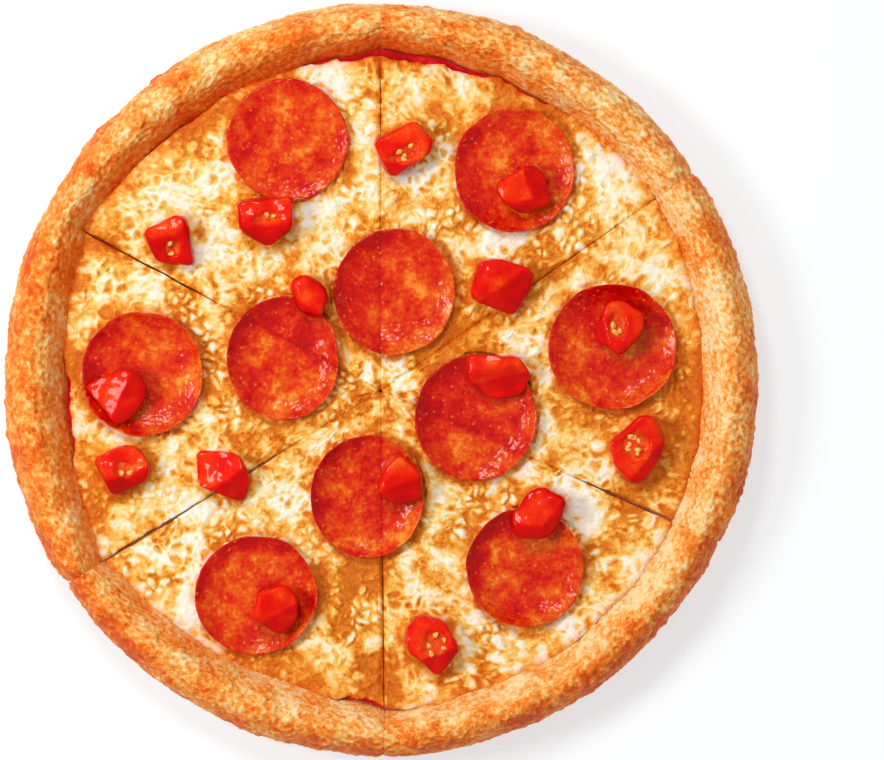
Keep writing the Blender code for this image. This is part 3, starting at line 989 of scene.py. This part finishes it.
def cheeseSurface(flat, rng):
    # height of the free surface and how creamy it is, before any topping presses it
    points = atHeight(flat)
    warped, warpWidth = cheese["warp"]
    warp = atHeight(np.column_stack((grain(points, warpWidth, 21), grain(points, warpWidth, 22))))
    strand = points + warp * warped
    curd = smoothStep(0.0, 0.55, curdCells(strand, cheese["curd"][1], 3))
    loose = smoothStep(-0.3, 0.35, grain(points, cheese["looseWidth"], 8, 2))
    netted = smoothStep(-0.15, 0.2, grain(points, cheese["nettedWidth"], 14, 2))
    shreds = grain(strand * (1.0, 1.5, 1.0), cheese["shred"][1], 5)
    swell = grain(points, cheese["swell"][1], 6, 2)
    height = cheese["level"] + cheese["swell"][0] * swell
    curds = (curd - 0.6) * (0.5 + 0.5 * loose) * (1 - cheese["nettedDepth"] * netted)
    height += cheese["curd"][0] * curds + cheese["shred"][0] * shreds
    mottle = grain(points + warp * 3, cheese["mottleWidth"], 11, 3)
    swellPart, mottlePart, curdPart, shredPart = cheese["creamParts"]
    cream = swellPart * swell + mottlePart * mottle + curdPart * curds + shredPart * shreds
    cream = evened(cream, *cheese["cream"])
    ringDepth, ringShade = cheese["bubbleRing"]
    for spot in rng.choice(len(flat), cheese["bubbles"]):
        width = rng.uniform(*cheese["bubbleWidth"])
        far = np.linalg.norm(flat - flat[spot], axis=1) / width
        dome = np.clip(1 - far ** 2, 0, 1)
        height += rng.uniform(*cheese["bubbleHeight"]) * dome
        ring = np.exp(-((far - 1.0) / 0.3) ** 2)
        height -= ringDepth * ring
        cream += rng.uniform(*cheese["bubbleCream"]) * smoothStep(0, 0.5, dome) - ringShade * ring
    pale, toastedAndShaded = patches(*flat.T, cheese["pale"]), patches(*flat.T, cheese["toastedAndShaded"])
    return height, cream + cheese["paler"] * pale - cheese["darker"] * toastedAndShaded


def pressToppings(flat, height, cream):
    # the cheese gives way under the toppings, climbs some stretches of their edges, and round them takes
    # painted shade and an oil stain
    x, y = flat.T
    near, oilAndShade = np.zeros(len(x)), np.zeros(len(x))
    roundShade, chunkShade = cheese["ringShade"]
    mean, variation, width = cheese["climb"]
    climb = np.clip(mean + variation * ripple(x, y, width, 15), *cheese["climbLimits"])
    for item in rounds:
        q, turn = roundPolar(item, x, y)
        hold = smoothStep(1 + cheese["toppingLip"] / cheese["roundRadius"], 1.0, q)
        under = bowlMiddle(item, np.minimum(q, 1), turn) - pepperoni["thickness"] / 2 - cheese["clearance"]
        height = height + np.minimum(under - height, climb) * hold
        near = np.maximum(near, hold)
        # a ring of painted shade round the round, also marked for the oil stain
        ring = np.exp(-((q - 1.01) / 0.07) ** 2)
        cream = cream - roundShade * ring
        oilAndShade = np.maximum(oilAndShade, ring)
    aboveFoot, aboveCheese = cheese["chunkLip"]
    for item in chunks:
        away = distanceTo(item["outline"], x, y)
        hold = smoothStep(cheese["toppingLip"], 0.0, away) * (1 - smoothStep(0.9, 1.0, near))
        lip = np.minimum(item["low"][2] + aboveFoot, height + aboveCheese)
        height = height + (lip - height) * hold
        near = np.maximum(near, hold * 0.9)
        # a ring of painted shade round the chunk, also marked for the oil stain
        ring = np.exp(-(np.maximum(away, 0) / cheese["chunkRing"]) ** 2)
        cream = cream - chunkShade * ring
        oilAndShade = np.maximum(oilAndShade, 0.8 * ring)
    return height, cream, oilAndShade


def meltEdges(piece, angles, length, edgeNear, flat, height, cream):
    # the sheet rounds off along its cuts and along the rim, and is painted darker there as shade
    melt = grain(atHeight(flat), cheese["meltWidth"], 12, 2)
    roundness = cheese["cutRound"] * np.clip(0.8 + 1.4 * melt, 0.3, 1.8)
    # painted shade along the cuts
    dark, variation, width = cheese["cutDark"]
    for away in awayFromCuts(piece, angles, length):
        height = height - np.clip(1 - away / roundness, 0, 1) ** 2 * roundness * 0.7
        cream = cream - (dark + variation * melt) * np.exp(-away / width)
    reach, drop = cheese["edgeRound"]
    height = height - np.clip(1 - edgeNear / reach, 0, 1) ** 2 * drop
    # painted shade along the rim
    dark, width = cheese["edgeDark"]
    return height, cream - dark * np.exp(-edgeNear / width)


def sauceOilAndShade(flat, height, edgeNear, oilAndShade):
    seep = np.clip(0.5 + 1.6 * grain(atHeight(flat), cheese["seepWidth"], 13, 2), 0, 1)
    (edge, width), (thin, reach) = cheese["edgeStain"], cheese["thinStain"]
    stainAndShade = edge * np.exp(-edgeNear / width) + thin * smoothStep(reach, 0.0, height - cheese["bottom"])
    # sauce along the rim and where the cheese is thin, and oil with painted shade round the toppings
    return np.clip(stainAndShade + cheese["oilAndShadeStain"] * oilAndShade * seep, 0, 1)


def buildCheese():
    material = cheeseMaterial()
    rng = np.random.default_rng(cheese["seed"])
    thinnest, softness = cheese["thinnest"]
    for number, piece in enumerate(layout["slices"], start=1):
        mesh, unit, angles = layerSheet(piece, cheese, f"cheeseLayer_{number}")
        onTop = unit[:, 2] > 0.5
        table = np.linspace(piece["start"], piece["end"], tableSteps)
        inset = np.interp(angles, table, sauceShows(table))
        foot, _ = alongSlice(piece, angles)
        edge = foot - inset
        inner = layout["tipInset"]
        length = inner + (edge - inner) * unit[:, 1] ** cheese["crowding"]
        edgeNear = edge - length
        lean = cheese["overWall"] * smoothStep(1.2, 0.2, inset)
        lean = lean * smoothStep(cheese["leanWidth"], 0.0, edgeNear) * onTop
        flat = sliceTip(piece) + headings(angles) * (length + lean)[:, None]
        flat = meetNeighbours(piece, angles, length, flat)

        height, cream = cheeseSurface(flat, rng)
        height, cream, oilAndShade = pressToppings(flat, height, cream)
        height, cream = meltEdges(piece, angles, length, edgeNear, flat, height, cream)
        stainAndShade = sauceOilAndShade(flat, height, edgeNear, oilAndShade)
        height = softFloor(height, cheese["bottom"] + thinnest, softness)
        writePoints(mesh, np.column_stack((flat, np.where(onTop, height, cheese["bottom"]))))
        paint(mesh, "cream", softFloor(cream, *cheese["darkest"]))
        paint(mesh, "stainAndShade", stainAndShade)
        showPiece(f"cheeseLayer_{number}", mesh, material, "cheese", f"cheese_{number}")


buildCheese()
print("cheese melted")


# Pepperoni: cupped rounds with an oily, mottled face

def pepperoniMaterial():
    shade = Shade("curedSausage", 0.34, 0.2, pepperoni["sheenTone"], coat=0.32, coatRoughness=0.14)
    size, weight = pepperoni["grain"]
    grains = shade.noise(size, detail=4, roughness=0.65)
    fine = shade.noise(pepperoni["fineWidth"], detail=2)
    fat = shade.cells(pepperoni["fatWidth"])
    level = shade.add(shade.tint("spiceAndShade"), grains, weight)
    flecks = shade.math("MULTIPLY", shade.range(fat, 0.26, 0.12), shade.range(grains, 0.42, 0.6))
    flecks = shade.math("MULTIPLY", flecks, pepperoni["fatShare"])
    shade.colour(shade.mix(flecks, shade.ramp(level, pepperoni["tones"]), pepperoni["fatTone"]))
    shade.gloss(shade.range(grains, 0.35, 0.65, pepperoni["gloss"]))
    shade.bump(shade.math("ADD", grains, shade.math("MULTIPLY", fine, 0.4)), *pepperoni["bump"])
    return shade.material


def roundMesh(item):
    # x is the share of the radius and z the side: -1 underneath, 1 on top
    rings = pepperoni["rings"] // coarse
    bm = bmesh.new()
    section = [(reach, -1.0) for reach in np.linspace(0, 0.965, rings // 3)]
    section += [(0.965 + 0.035 * math.cos(a), math.sin(a)) for a in np.radians((-60, -30, 0, 30, 60))]
    section += [(reach, 1.0) for reach in np.linspace(0.965, 0, rings)]
    verts = [bm.verts.new((reach, 0, side)) for reach, side in section]
    edges = [bm.edges.new(pair) for pair in zip(verts, verts[1:])]
    bmesh.ops.spin(bm, geom=verts + edges, cent=(0, 0, 0), axis=(0, 0, 1), angle=math.tau,
                   steps=pepperoni["around"] // coarse, use_merge=True, use_duplicate=False)
    bmesh.ops.remove_doubles(bm, verts=bm.verts, dist=1e-5)
    mesh = meshFrom(bm, item["name"])
    unit = readPoints(mesh)
    q = np.hypot(unit[:, 0], unit[:, 1])
    turn = np.arctan2(unit[:, 1], unit[:, 0])
    circle = np.column_stack((np.cos(turn), np.sin(turn), np.full(len(turn), item["twist"])))
    uneven = 1 - pepperoni["unevenRadius"] + pepperoni["unevenRadius"] * grain(circle, 0.6, 31)
    x = item["middle"][0] + unit[:, 0] * item["half"][0] * uneven
    y = item["middle"][1] + unit[:, 1] * item["half"][1] * uneven
    flat = atHeight(np.column_stack((x, y)), item["twist"] * 9)
    swell = pepperoni["swell"][0] * grain(flat, pepperoni["swell"][1], 32, 2)
    speck = grain(flat, pepperoni["fleck"][1], 33)
    z = bowlMiddle(item, q, turn) + unit[:, 2] * pepperoni["thickness"] / 2 + swell * (1 - q ** 4)
    z += pepperoni["fleck"][0] * speck * (unit[:, 2] > 0) * (0.7 + 1.1 * smoothStep(0.5, 0.85, q))
    writePoints(mesh, keepInside(np.column_stack((x, y, z))))
    (broad, broadWidth), (patch, patchWidth) = pepperoni["mottle"]
    mottle = broad * grain(flat, broadWidth, 34, 2) + patch * grain(flat, patchWidth, 35, 2)
    mottle = mottle + pepperoni["fleckPaler"] * speck
    spiceAndShade = evened(mottle, *pepperoni["spiceAndShade"])
    # edges a little darker all round, with painted shade on the shaded side and a little painted light on the
    # side opposite
    curl = smoothStep(0.5, 0.95, q + 0.2 * grain(flat, 8, 36, 2))
    facing = np.cos(turn - math.radians(item["darkSide"]))
    spiceAndShade -= curl * (0.05 + item["dark"] * np.maximum(facing, 0) - 0.1 * np.maximum(-facing, 0))
    paint(mesh, "spiceAndShade", spiceAndShade)
    return mesh


def halfMesh(mesh, angle, side, node):
    # one side of the cut through a round, with its cut face closed
    across = Vector((*headings(angle + 90 * side)[0], 0))
    on = Vector((*layout["cutCentre"], 0)) * mm + across * (layout["closedWidth"] / 2 * mm)
    bm = bmesh.new()
    bm.from_mesh(mesh)
    bmesh.ops.bisect_plane(bm, geom=bm.verts[:] + bm.edges[:] + bm.faces[:], dist=1e-6,
                           plane_co=on, plane_no=-across, clear_outer=True)
    bmesh.ops.edgeloop_fill(bm, edges=[edge for edge in bm.edges if edge.is_boundary])
    half = meshFrom(bm, f"round_{node}")
    points = readPoints(half) / mm
    away = (points[:, :2] - np.array(on.xy) / mm) @ np.array(across.xy)
    drop, width = pepperoni["cutDrop"]
    points[:, 2] -= drop * np.exp(-away / width)
    writePoints(half, points)
    # painted shade on some halves and along the cut's edge
    darker = pepperoni["shadedHalves"].get(node.removeprefix("pepperoni_"), 0.0)
    edgeDark, width = pepperoni["cutDark"]
    spiceAndShade = readValues(half, "spiceAndShade") - darker - edgeDark * np.exp(-away / width).astype(np.float32)
    half.attributes["spiceAndShade"].data.foreach_set("value", spiceAndShade)
    return half


def buildPepperoni():
    material = pepperoniMaterial()
    for item in rounds:
        mesh = roundMesh(item)
        if item["number"] not in pepperoni["cuts"]:
            showPiece(f"round_{item['name']}", mesh, material, "pepperoni", item["name"])
            continue
        for node, side in zip(item["nodes"], (1, -1)):
            half = halfMesh(mesh, pepperoni["cuts"][item["number"]], side, node)
            showPiece(f"round_{node}", half, material, "pepperoni", node)
        bpy.data.meshes.remove(mesh)


buildPepperoni()
print("pepperoni laid")


# Tomato: wet chunks, some with a pocket of seeds

tomato = {
    "voxel": 0.5,
    "smooth": 3,
    "sinkOnCheese": 0.3,
    "sinkOnPepperoni": 1.2,
    "undercut": 0.06,        # how far the sides lean in towards the foot
    "uneven": (0.45, 6.5),
    "skin": (0.05, 1.8),
    "ripeAndShade": (0.5, 0.1, 9.0),         # mean and spread of its colour, and the width of its areas
    "lightAndShadeParts": (0.14, 0.18, 0.22),     # painted light on the top, painted shade on the steep cut faces and the sides
    "pocketDepth": 1.3,
    "pocketRagged": (0.25, 3.0),
    "seedSize": (1.0, 0.72, 0.4),
    "seedReach": 0.9,        # how widely a seed looks for the flesh that it lies on
    "lowestFace": 2.2,       # what is left of a chunk below its cut faces
    "sheenTone": (255, 130, 120),
    "tones": [
        (0.02, (186, 0, 0)),
        (0.28, (212, 0, 0)),
        (0.52, (226, 14, 0)),
        (0.75, (235, 48, 0)),
        (0.98, (244, 98, 20)),
    ],
    "blotch": (6.0, 0.75),   # width in millimetres and weight, then the same of the fibres
    "fibre": (1.2, 0.5),
    "bump": (0.4, 0.5),
    "gelShare": 0.7,
    "gelTones": [(0.35, (206, 26, 12)), (0.65, (240, 110, 34))],
    "seedBlotch": 1.0,
    "seedBump": (0.15, 0.4),
    "seedTones": [(0.35, (236, 132, 44)), (0.65, (252, 204, 98))],
    "seed": 40,
    # cut faces of each chunk: slope in degrees, direction it faces, where it starts from the middle
    "faces": {
        1: [(5, 250, 0), (40, 262, 5)],
        2: [(12, 90, 0), (28, 275, 1)],
        3: [(14, 100, 3), (24, 285, -2), (50, 5, 5)],
        4: [(8, 215, 0), (30, 20, 1), (36, 285, 3)],
        5: [(5, 60, 0), (28, 305, -1)],
        6: [(8, 40, 0), (26, 240, 2)],
        7: [(8, 60, 0), (34, 190, 4)],
        8: [(9, 95, 0), (32, 282, 0)],
        9: [(6, 170, 0), (30, 320, 4)],
        10: [(19, 170, 0), (26, 325, -1)],
        11: [(10, 80, 0), (30, 290, 1)],
        12: [(14, 130, 0), (34, 300, 1)],
        13: [(6, 60, 0), (26, 290, 1)],
        14: [(12, 120, 0), (34, 320, 3), (24, 260, 3)],
        15: [(5, 60, 0), (28, 300, 1)],
        16: [(9, 140, 0), (34, 290, 3)],
    },
    # pockets of seeds: place from the chunk's middle, half length, half width, turn, number of seeds
    "pockets": {
        1: ((0.5, -1.5), 5.6, 2.6, 30, 4),
        2: ((0.0, 0.5), 4.6, 2.4, 10, 2),
        3: ((1.5, -3.0), 3.4, 2.6, 60, 2),
        7: ((-0.5, 0.5), 4.6, 3.4, 80, 5),
        9: ((-0.5, 1.5), 4.6, 5.4, 60, 8),
        11: ((1.0, 0.5), 3.4, 2.8, 0, 2),
        16: ((1.0, 0.5), 4.6, 4.4, 40, 5),
    },
}


def tomatoMaterial():
    shade = Shade("tomatoFlesh", 0.24, 0.12, tomato["sheenTone"], coat=0.22, coatRoughness=0.07)
    (blotchSize, blotchWeight), (fibreSize, fibreWeight) = tomato["blotch"], tomato["fibre"]
    blotch = shade.noise(blotchSize, detail=3)
    fibre = shade.noise(fibreSize, detail=4, roughness=0.6, distortion=0.8)
    level = shade.add(shade.add(shade.tint("ripeAndShade"), blotch, blotchWeight), fibre, fibreWeight)
    base, gel = shade.ramp(level, tomato["tones"]), shade.ramp(fibre, tomato["gelTones"])
    shade.colour(shade.mix(shade.math("MULTIPLY", shade.tint("gel"), tomato["gelShare"]), base, gel))
    shade.bump(shade.math("ADD", fibre, shade.math("MULTIPLY", blotch, 0.8)), *tomato["bump"])
    return shade.material


def seedMaterial():
    shade = Shade("tomatoSeed", 0.3, specular=0.4, coat=0.2, coatRoughness=0.1)
    blotch = shade.noise(tomato["seedBlotch"], detail=3)
    shade.colour(shade.ramp(blotch, tomato["seedTones"]))
    shade.bump(blotch, *tomato["seedBump"])
    return shade.material


def cutFaces(points, item, sink, faces):
    # draws the foot in, sets the chunk down on what lies under it and cuts its faces
    low, high = item["low"], item["high"]
    share = np.clip((points[:, 2] - low[2]) / (high[2] - low[2]), 0, 1)
    aside = points[:, :2] - item["middle"][:2]
    points[:, :2] -= aside * (tomato["undercut"] * (1 - share))[:, None]
    shaded = np.zeros(len(points))
    for slope, facing, begins in faces:
        fall = math.tan(math.radians(slope)) * (aside @ headings(facing)[0] - begins)
        face = high[2] - fall
        if begins == 0:   # the first face leans the whole top
            face -= (face.max() - high[2]) * 0.5
        if slope > 20:
            shaded = np.maximum(shaded, smoothStep(0.0, 0.8, fall))
        points[:, 2] = np.minimum(points[:, 2], np.maximum(face, low[2] + tomato["lowestFace"]))
    points[:, 2] -= sink * (1 - share)
    return share, shaded


def chunkMesh(item):
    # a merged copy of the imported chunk, remeshed evenly
    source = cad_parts[item["name"]].data
    bm = bmesh.new()
    bm.from_mesh(source)
    bmesh.ops.remove_doubles(bm, verts=bm.verts, dist=1e-6)
    rough = meshFrom(bm, item["name"] + "Rough")
    holder = bpy.data.objects.new("holder", rough)
    scene.collection.objects.link(holder)
    remesh = holder.modifiers.new("remesh", "REMESH")
    remesh.mode = "VOXEL"
    remesh.voxel_size = tomato["voxel"] * mm * coarse ** 0.5
    fineMesh = bpy.data.meshes.new_from_object(holder.evaluated_get(bpy.context.evaluated_depsgraph_get()))
    bpy.data.objects.remove(holder)
    bpy.data.meshes.remove(rough)
    return fineMesh


def softened(mesh, name):
    bm = bmesh.new()
    bm.from_mesh(mesh)
    bpy.data.meshes.remove(mesh)
    for _ in range(tomato["smooth"]):
        bmesh.ops.smooth_vert(bm, verts=bm.verts, factor=0.5,
                              use_axis_x=True, use_axis_y=True, use_axis_z=True)
    return meshFrom(bm, name)


def openPocket(points, share, item, offset, pocket, rng):
    # hollows out a pocket and finds places for its seeds; gel is 1 where its inside shows
    (dx, dy), halfLength, halfWidth, turn, seeds = pocket
    centre = item["middle"][:2] + (dx, dy)
    along = headings(turn)[0]
    beside = np.array((-along[1], along[0]))
    away = points[:, :2] - centre
    a, b = away @ along / halfLength, away @ beside / halfWidth
    uneven, width = tomato["pocketRagged"]
    ragged = np.hypot(a, b) + uneven * grain(points + offset, width, 46, 2)
    gel = smoothStep(1.05, 0.7, ragged) * smoothStep(0.55, 0.8, share)
    points[:, 2] -= tomato["pocketDepth"] * gel
    places = []
    for _ in range(seeds):
        spread, around = math.sqrt(rng.uniform(0.05, 0.6)), rng.uniform(0, math.tau)
        spot = centre + along * halfLength * spread * math.cos(around)
        spot = spot + beside * halfWidth * spread * math.sin(around)
        nearest = np.linalg.norm(points[:, :2] - spot, axis=1) < tomato["seedReach"]
        level = points[nearest, 2].max() if nearest.any() else item["high"][2]
        places.append((spot, level + 0.1, rng.uniform(0, math.tau)))
    return gel, places


def buildTomatoes():
    material = tomatoMaterial()
    rng = np.random.default_rng(tomato["seed"])
    mean, spread, areaWidth = tomato["ripeAndShade"]
    topPart, facePart, sidePart = tomato["lightAndShadeParts"]
    seedPlaces = []
    for number, item in enumerate(chunks, start=1):
        mesh = chunkMesh(item)
        points = readPoints(mesh) / mm
        x, y = item["middle"][:1], item["middle"][1:2]
        onPepperoni = any(roundPolar(spot, x, y)[0][0] < 1.0 for spot in rounds)
        sink = tomato["sinkOnPepperoni"] if onPepperoni else tomato["sinkOnCheese"]
        share, shaded = cutFaces(points, item, sink, tomato["faces"][number])
        writePoints(mesh, points)
        mesh = softened(mesh, item["name"])
        points = readPoints(mesh) / mm
        offset = np.array((0, 0, number * 13.0))
        uneven, width = tomato["uneven"]
        waves = [grain(points + offset, width, layer, 2) for layer in (41, 42, 43)]
        points += uneven * np.column_stack(waves)
        top = smoothStep(0.75, 0.95, share)
        ripeAndShade = evened(grain(points + offset, areaWidth, 45, 2), mean, spread)
        # painted light on the top, painted shade on the steep cut faces and the sides
        ripeAndShade += topPart * top * (1 - shaded) - facePart * shaded - sidePart * (1 - top)
        gel = np.zeros(len(points))
        if number in tomato["pockets"]:
            gel, places = openPocket(points, share, item, offset, tomato["pockets"][number], rng)
            seedPlaces += places
        points[:, 2] += tomato["skin"][0] * grain(points + offset, tomato["skin"][1], 44)
        writePoints(mesh, keepInside(points))
        paint(mesh, "ripeAndShade", ripeAndShade)
        paint(mesh, "gel", gel)
        showPiece(f"chunk_{item['name']}", mesh, material, "tomato", item["name"])
    return seedPlaces


def buildSeeds(places):
    rng = np.random.default_rng(tomato["seed"] + 1)
    bm = bmesh.new()
    for spot, height, turn in places:
        grown = bmesh.ops.create_icosphere(bm, subdivisions=2, radius=1)["verts"]
        for vert in grown:   # a drop shape, narrower at one end
            vert.co.y *= 1 - 0.35 * vert.co.x
        size = Vector(tomato["seedSize"]) * rng.uniform(0.85, 1.25) * mm
        place = Matrix.Translation(Vector((*spot, height)) * mm)
        lean = Matrix.Rotation(rng.uniform(-0.4, 0.4), 4, "X")
        matrix = place @ Matrix.Rotation(turn, 4, "Z") @ lean @ Matrix.Diagonal((*size, 1))
        bmesh.ops.transform(bm, matrix=matrix, verts=grown)
    showPiece("tomatoSeeds", meshFrom(bm, "tomatoSeeds"), seedMaterial(), "tomato")


buildSeeds(buildTomatoes())
print("tomatoes and seeds placed")
